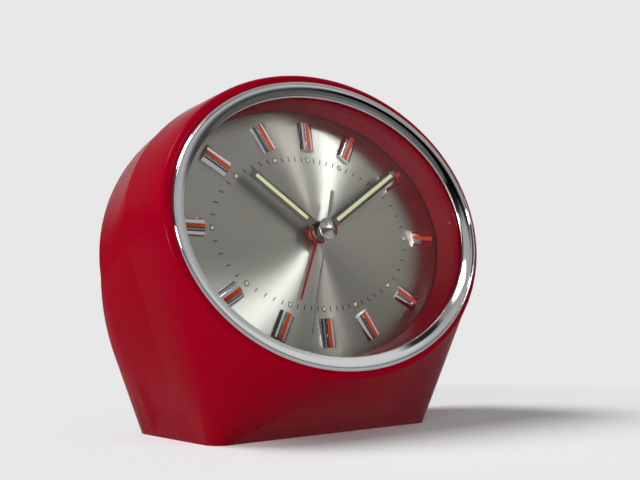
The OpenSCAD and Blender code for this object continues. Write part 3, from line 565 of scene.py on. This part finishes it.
def buildTicks():
    bm = bmesh.new()
    size = Matrix.Diagonal((*(side * mm for side in dialPrint["tick"]), 1))
    for minute in range(60):
        if minute % 5:
            place = dialPlace(math.radians(6 * minute), 0)
            bmesh.ops.create_cube(bm, size=1.0, matrix=place @ size)
    finishPiece(bm, "minuteTicks", "printBlack", "frame", "dial_silver")


def buildDots(name, row, material, slot):
    bm = bmesh.new()
    radius, lift = row["radius"] * mm, row["lift"]
    for hour in range(12):
        place = dialPlace(math.radians(30 * hour), lift / 2)
        bmesh.ops.create_cone(
            bm, cap_ends=True, radius1=radius, radius2=radius * dialPrint["dotTaper"],
            depth=lift * mm, segments=dialPrint["dotSegments"],
            matrix=place @ Matrix.Rotation(math.pi / 2, 4, "X"),
        )
    finishPiece(bm, name, material, "frame", slot)


buildTicks()
buildDots("dotRings", dialPrint["ring"], "printBlack", "dial_silver")
buildDots("dots", dialPrint["dot"], "creamDot", "lume")
print("dial print done")

# hour markers: half-round bars with a stripe let into the top
marker = {
    "oval": (42.0, 28.8), "length": 8.2, "stripe": 1.2, "stripeDepth": 0.3, "stripeLift": 0.01,
    "stripeProud": 0.03, "barSoften": 0.1, "stripeSoften": 0.03,
    "flank": [
        (2.6, 0.0), (2.6, 0.3), (2.32, 0.64), (1.9, 0.95), (1.4, 1.2), (0.95, 1.36), (0.62, 1.4),
    ],
}


def markerPlace(hour):
    angle = math.radians(30 * hour)
    out = Matrix.Translation((0, 0, ovalReach(marker["oval"], angle)))
    return onFace @ Matrix.Rotation(angle, 4, "Y") @ Matrix.Scale(mm, 4) @ out


def buildMarkers():
    inner, top = marker["flank"][-1]
    groove = top - marker["stripeDepth"]
    section = mirrored(marker["flank"] + [(inner, groove)])
    wide = marker["stripe"] / 2
    flat = mirrored([(wide, groove + marker["stripeLift"]), (wide, top + marker["stripeProud"])])
    half = marker["length"] / 2
    bars, stripes = bmesh.new(), bmesh.new()
    for hour in range(12):
        drawBar(bars, section, -half, half, markerPlace(hour))
        drawBar(stripes, flat, -half, half, markerPlace(hour))
    bar = finishPiece(bars, "markerBars", "chromePlate", "frame", "chrome", ("hour_markers",))
    softenPiece(bar, marker["barSoften"])
    stripe = finishPiece(
        stripes, "markerStripes", "markerOrange", "frame", "marker_orange", ("marker_inlays",)
    )
    softenPiece(stripe, marker["stripeSoften"])


# hour and minute hands: a frame with sloped sides round the luminous strip
hands = {
    "hour": {
        "node": "hour_hand", "body": "hours", "length": 27.53, "front": -3.3, "hub": 3.0,
        "bore": 1.97, "at": 304.8,
    },
    "minute": {
        "node": "minute_hand", "body": "minutes", "length": 36.1, "front": -4.4, "hub": 2.8,
        "bore": 1.42, "at": 57.3,
    },
}
handFrame = {
    "width": 3.0, "thick": 0.5, "edge": 0.16, "flat": 0.95, "strip": 0.55, "stripFrom": 6.0,
    "stripTo": 1.6, "sink": 0.3, "hubSlope": (0.3, 0.2), "hubSegments": 64, "rootGap": 0.4,
    "sharp": 25.0, "soften": 0.04,
}


def buildHand(name, row):
    front, hub, bore = row["front"], row["hub"], row["bore"]
    back = front + handFrame["thick"]
    slopeIn, slopeDown = handFrame["hubSlope"]
    disc = [
        (bore, front), (hub - slopeIn, front), (hub, front + slopeDown), (hub, back),
        (bore, back), (bore, front),
    ]
    bm = sweepOval([(r, r, depth) for r, depth in disc], handFrame["hubSegments"])
    place = onFace @ Matrix.Rotation(math.radians(row["at"]), 4, "Y") @ Matrix.Scale(mm, 4)
    top, low = -front, -back
    wide, strip = handFrame["width"] / 2, handFrame["strip"]
    side = [(wide, low), (wide, low + handFrame["edge"]), (handFrame["flat"], top)]
    groove = [(strip, top), (strip, top - handFrame["sink"])]
    start, end = handFrame["stripFrom"], row["length"] - handFrame["stripTo"]
    drawBar(bm, mirrored(side), bore + handFrame["rootGap"], start, place)
    drawBar(bm, mirrored(side + groove), start, end, place)
    drawBar(bm, mirrored(side), end, row["length"], place)
    # the frame takes the chrome painted dark, a painted dark reflection
    piece = finishPiece(
        bm, name + "Frame", "handChromePaintedDarkReflection", row["body"], "chrome", (row["node"],),
        handFrame["sharp"],
    )
    softenPiece(piece, handFrame["soften"])


buildMarkers()
for name, row in hands.items():
    buildHand(name, row)
print("markers and hands done")

# nodes that keep their CAD shape: slot, finish, width of the soft edges and names
dressed = {
    "dial_silver": ("dialSilver", 0.0, ["dial"]),
    "chrome": ("capSilver", 0.08, ["hub_cap"]),
    "hand_silver": ("satinSilver", 0.03, ["seconds_hand"]),
    "lume": ("luminousPaint", 0.04, ["hour_hand_lume", "minute_hand_lume"]),
    "hand_red": ("handRed", 0.05, ["alarm_hand"]),
    "brass": ("brassSheet", 0.04, [
        "front_plate", "back_plate", "fourth_wheel", "centre_wheel", "third_wheel", "hour_wheel",
        "minute_wheel", "time_great_wheel", "alarm_great_wheel", "alarm_wheel", "balance_wheel",
    ]),
    "steel": ("turnedSteel", 0.04, [
        "pillars", "pillar_nuts", "movement_screws", "escape_wheel", "cannon_pinion", "set_arbor",
        "alarm_set_arbor", "time_arbor", "alarm_arbor", "pallet_lever", "hammer",
        "alarm_star_wheel", "time_click", "alarm_click",
    ]),
    "spring_steel": ("bluedSteel", 0.0, [
        "time_mainspring", "alarm_mainspring", "hairspring", "alarm_trip_spring",
    ]),
    "nickel": ("nickelPlate", 0.15, [
        "time_key", "alarm_key", "set_knob", "alarm_set_knob", "stop_button", "regulator",
        "cover_screws",
    ]),
    "cover_steel": ("coverSteel", 0.15, ["rear_cover"]),
}
for slot, (material, soften, names) in dressed.items():
    for node in names:
        dressNode(node, material, slot, soften)
print("nodes dressed")

# floor, light and camera
studio = {
    "background": 0.805, "ambient": 0.1, "ambientTint": (0.96, 0.98, 1.0, 1.0), "room": 0.05,
    "floor": 0.95, "floorHalf": 20.0, "floorRough": 0.9, "floorGloss": 0.1,
    # round this point the floor takes shadow, and further out it fades into the background
    "shadeCentre": (0.07, -0.02, 0.0), "near": 0.075, "far": 0.15,
    # the floor's level as bright metal sees it, near and far
    "mirrorFloor": (0.42, 0.1), "mirrorReach": (0.2, 0.65),
    # the room is dim below this height, and where a flag stands
    "skyline": (0.08, 0.24), "skylineLevel": 0.15, "flagLevel": 0.04,
    # what bright metal and glass see: the way to it, half widths of its core and edge, its level
    "panels": [
        {"toward": (0.76, -0.5, 0.42), "core": 14, "edge": 44, "level": 0.56},
        {"toward": (0.69, -0.47, 0.58), "core": 8, "edge": 20, "level": 0.85},
        {"toward": (0.12, -0.85, 0.52), "core": 12, "edge": 24, "level": 0.5},
        {"toward": (0.2, 0.9, 0.3), "core": 50, "edge": 80, "level": 0.8},
        {"toward": (0.0, 0.0, 1.0), "core": 15, "edge": 40, "level": 0.35},
    ],
    "flags": [
        {"toward": (0.42, -0.89, 0.10), "core": 11, "edge": 17},
        {"toward": (0.46, -0.53, 0.72), "core": 4, "edge": 8},
    ],
}


def addSpot(tree, ahead, row, outside, inside):
    way = addVector(tree, "DOT_PRODUCT", ahead, Vector(row["toward"]).normalized())
    edge, core = (math.cos(math.radians(row[side])) for side in ("edge", "core"))
    return addRange(tree, way, edge, core, outside, inside, smooth=True)


def makePaleFloor():
    mat, tree, shader, place = newMaterial("paleFloor")
    shader.inputs["Base Color"].default_value = (*[studio["floor"]] * 3, 1.0)
    shader.inputs["Roughness"].default_value = studio["floorRough"]
    shader.inputs["Specular IOR Level"].default_value = studio["floorGloss"]
    path = tree.nodes.new("ShaderNodeLightPath").outputs
    spread = addVector(tree, "DISTANCE", place, studio["shadeCentre"])
    away = addRange(tree, spread, studio["near"], studio["far"], smooth=True)
    seen = addMath(tree, "MAXIMUM", path["Is Camera Ray"], path["Is Transmission Ray"])
    faded = addMath(tree, "MULTIPLY", seen, away)
    reach = addVector(tree, "LENGTH", place)
    level = addRange(tree, reach, *studio["mirrorReach"], *studio["mirrorFloor"], smooth=True)
    strength = tree.nodes.new("ShaderNodeMix")
    feed(tree, strength.inputs[0], path["Is Glossy Ray"])
    feed(tree, strength.inputs[2], studio["background"])  # the two number sockets
    feed(tree, strength.inputs[3], level)
    glow = tree.nodes.new("ShaderNodeEmission")
    feed(tree, glow.inputs["Strength"], strength.outputs[0])
    share = addMath(tree, "MAXIMUM", faded, path["Is Glossy Ray"])
    mixed = addShaderMix(tree, share, shader.outputs[0], glow.outputs[0])
    feed(tree, tree.nodes["Material Output"].inputs["Surface"], mixed)
    return mat


def buildFloor():
    bm = bmesh.new()
    bmesh.ops.create_grid(bm, x_segments=2, y_segments=2, size=studio["floorHalf"])
    mesh = bpy.data.meshes.new("floor")
    bm.to_mesh(mesh)
    bm.free()
    floor = bpy.data.objects.new("floor", mesh)
    bpy.context.scene.collection.objects.link(floor)
    mesh.materials.append(makePaleFloor())


def buildWorld():
    world = bpy.data.worlds.new("paleStudio")
    bpy.context.scene.world = world
    world.use_nodes = True
    tree = world.node_tree
    ahead = tree.nodes.new("ShaderNodeTexCoord").outputs["Generated"]
    level = studio["room"]
    for row in studio["panels"]:
        level = addMath(tree, "MAXIMUM", addSpot(tree, ahead, row, 0.0, row["level"]), level)
    split = tree.nodes.new("ShaderNodeSeparateXYZ")
    feed(tree, split.inputs[0], ahead)
    height = split.outputs["Z"]
    dim = addRange(tree, height, *studio["skyline"], studio["skylineLevel"], 1.0, smooth=True)
    level = addMath(tree, "MULTIPLY", level, dim)
    for row in studio["flags"]:
        shade = addSpot(tree, ahead, row, 1.0, studio["flagLevel"])
        level = addMath(tree, "MULTIPLY", level, shade)
    light = tree.nodes["Background"]
    light.inputs["Color"].default_value = studio["ambientTint"]
    light.inputs["Strength"].default_value = studio["ambient"]
    room = tree.nodes.new("ShaderNodeBackground")
    feed(tree, room.inputs["Strength"], level)
    shown = tree.nodes.new("ShaderNodeBackground")
    shown.inputs["Color"].default_value = (*[studio["background"]] * 3, 1.0)
    path = tree.nodes.new("ShaderNodeLightPath").outputs
    shiny = addMath(tree, "MAXIMUM", path["Is Glossy Ray"], path["Is Transmission Ray"])
    mixed = addShaderMix(tree, shiny, light.outputs[0], room.outputs[0])
    mixed = addShaderMix(tree, path["Is Camera Ray"], mixed, shown.outputs[0])
    feed(tree, tree.nodes["World Output"].inputs["Surface"], mixed)


white = (1.0, 1.0, 1.0)
lamps = {
    "faceLamp": {
        "at": (0.19, -0.72, 0.59), "size": (0.2, 0.16), "power": 1.2, "tint": (0.92, 0.98, 1.0),
    },
    "ceiling": {"at": (-1.12, 0.6, 1.85), "size": (0.8, 0.8), "power": 36.5, "tint": white},
    "leftWindow": {"at": (-0.85, -0.55, 0.09), "size": (0.5, 0.16), "power": 6.8, "tint": white},
    "rightFill": {"at": (0.95, 0.3, 0.2), "size": (0.5, 0.3), "power": 1.6, "tint": white},
}


def buildLamp(name, row):
    data = bpy.data.lights.new(name, "AREA")
    data.shape = "RECTANGLE"
    data.size, data.size_y = row["size"]
    data.energy = row["power"]
    data.color = row["tint"]
    lamp = bpy.data.objects.new(name, data)
    bpy.context.scene.collection.objects.link(lamp)
    lamp.location = Vector(row["at"])
    lamp.rotation_euler = (faceCentre - lamp.location).to_track_quat("-Z", "Y").to_euler()


# the eye's place from the centre of the face in millimetres, and the way that it looks
camera = {
    "offset": (-168.4, -207.8, -23.0), "lens": 52.63, "sensor": 36.0, "clip": 0.01,
    "right": (0.77413, -0.63291, -0.01236), "down": (0.04042, 0.06889, -0.99681),
    "ahead": (0.63174, 0.77116, 0.07892),
}


def buildCamera():
    data = bpy.data.cameras.new("photoCamera")
    data.sensor_width = camera["sensor"]
    data.sensor_fit = "HORIZONTAL"
    data.lens = camera["lens"]
    data.clip_start = camera["clip"]
    eye = bpy.data.objects.new("photoCamera", data)
    bpy.context.scene.collection.objects.link(eye)
    right, down, ahead = (Vector(camera[way]) for way in ("right", "down", "ahead"))
    axes = Matrix((right, -down, -ahead)).transposed().to_4x4()
    eye.matrix_world = Matrix.Translation(faceCentre + Vector(camera["offset"]) * mm) @ axes
    bpy.context.scene.camera = eye


buildFloor()
buildWorld()
for name, row in lamps.items():
    buildLamp(name, row)
buildCamera()
bpy.context.scene.view_settings.view_transform = "Standard"
print("studio done")
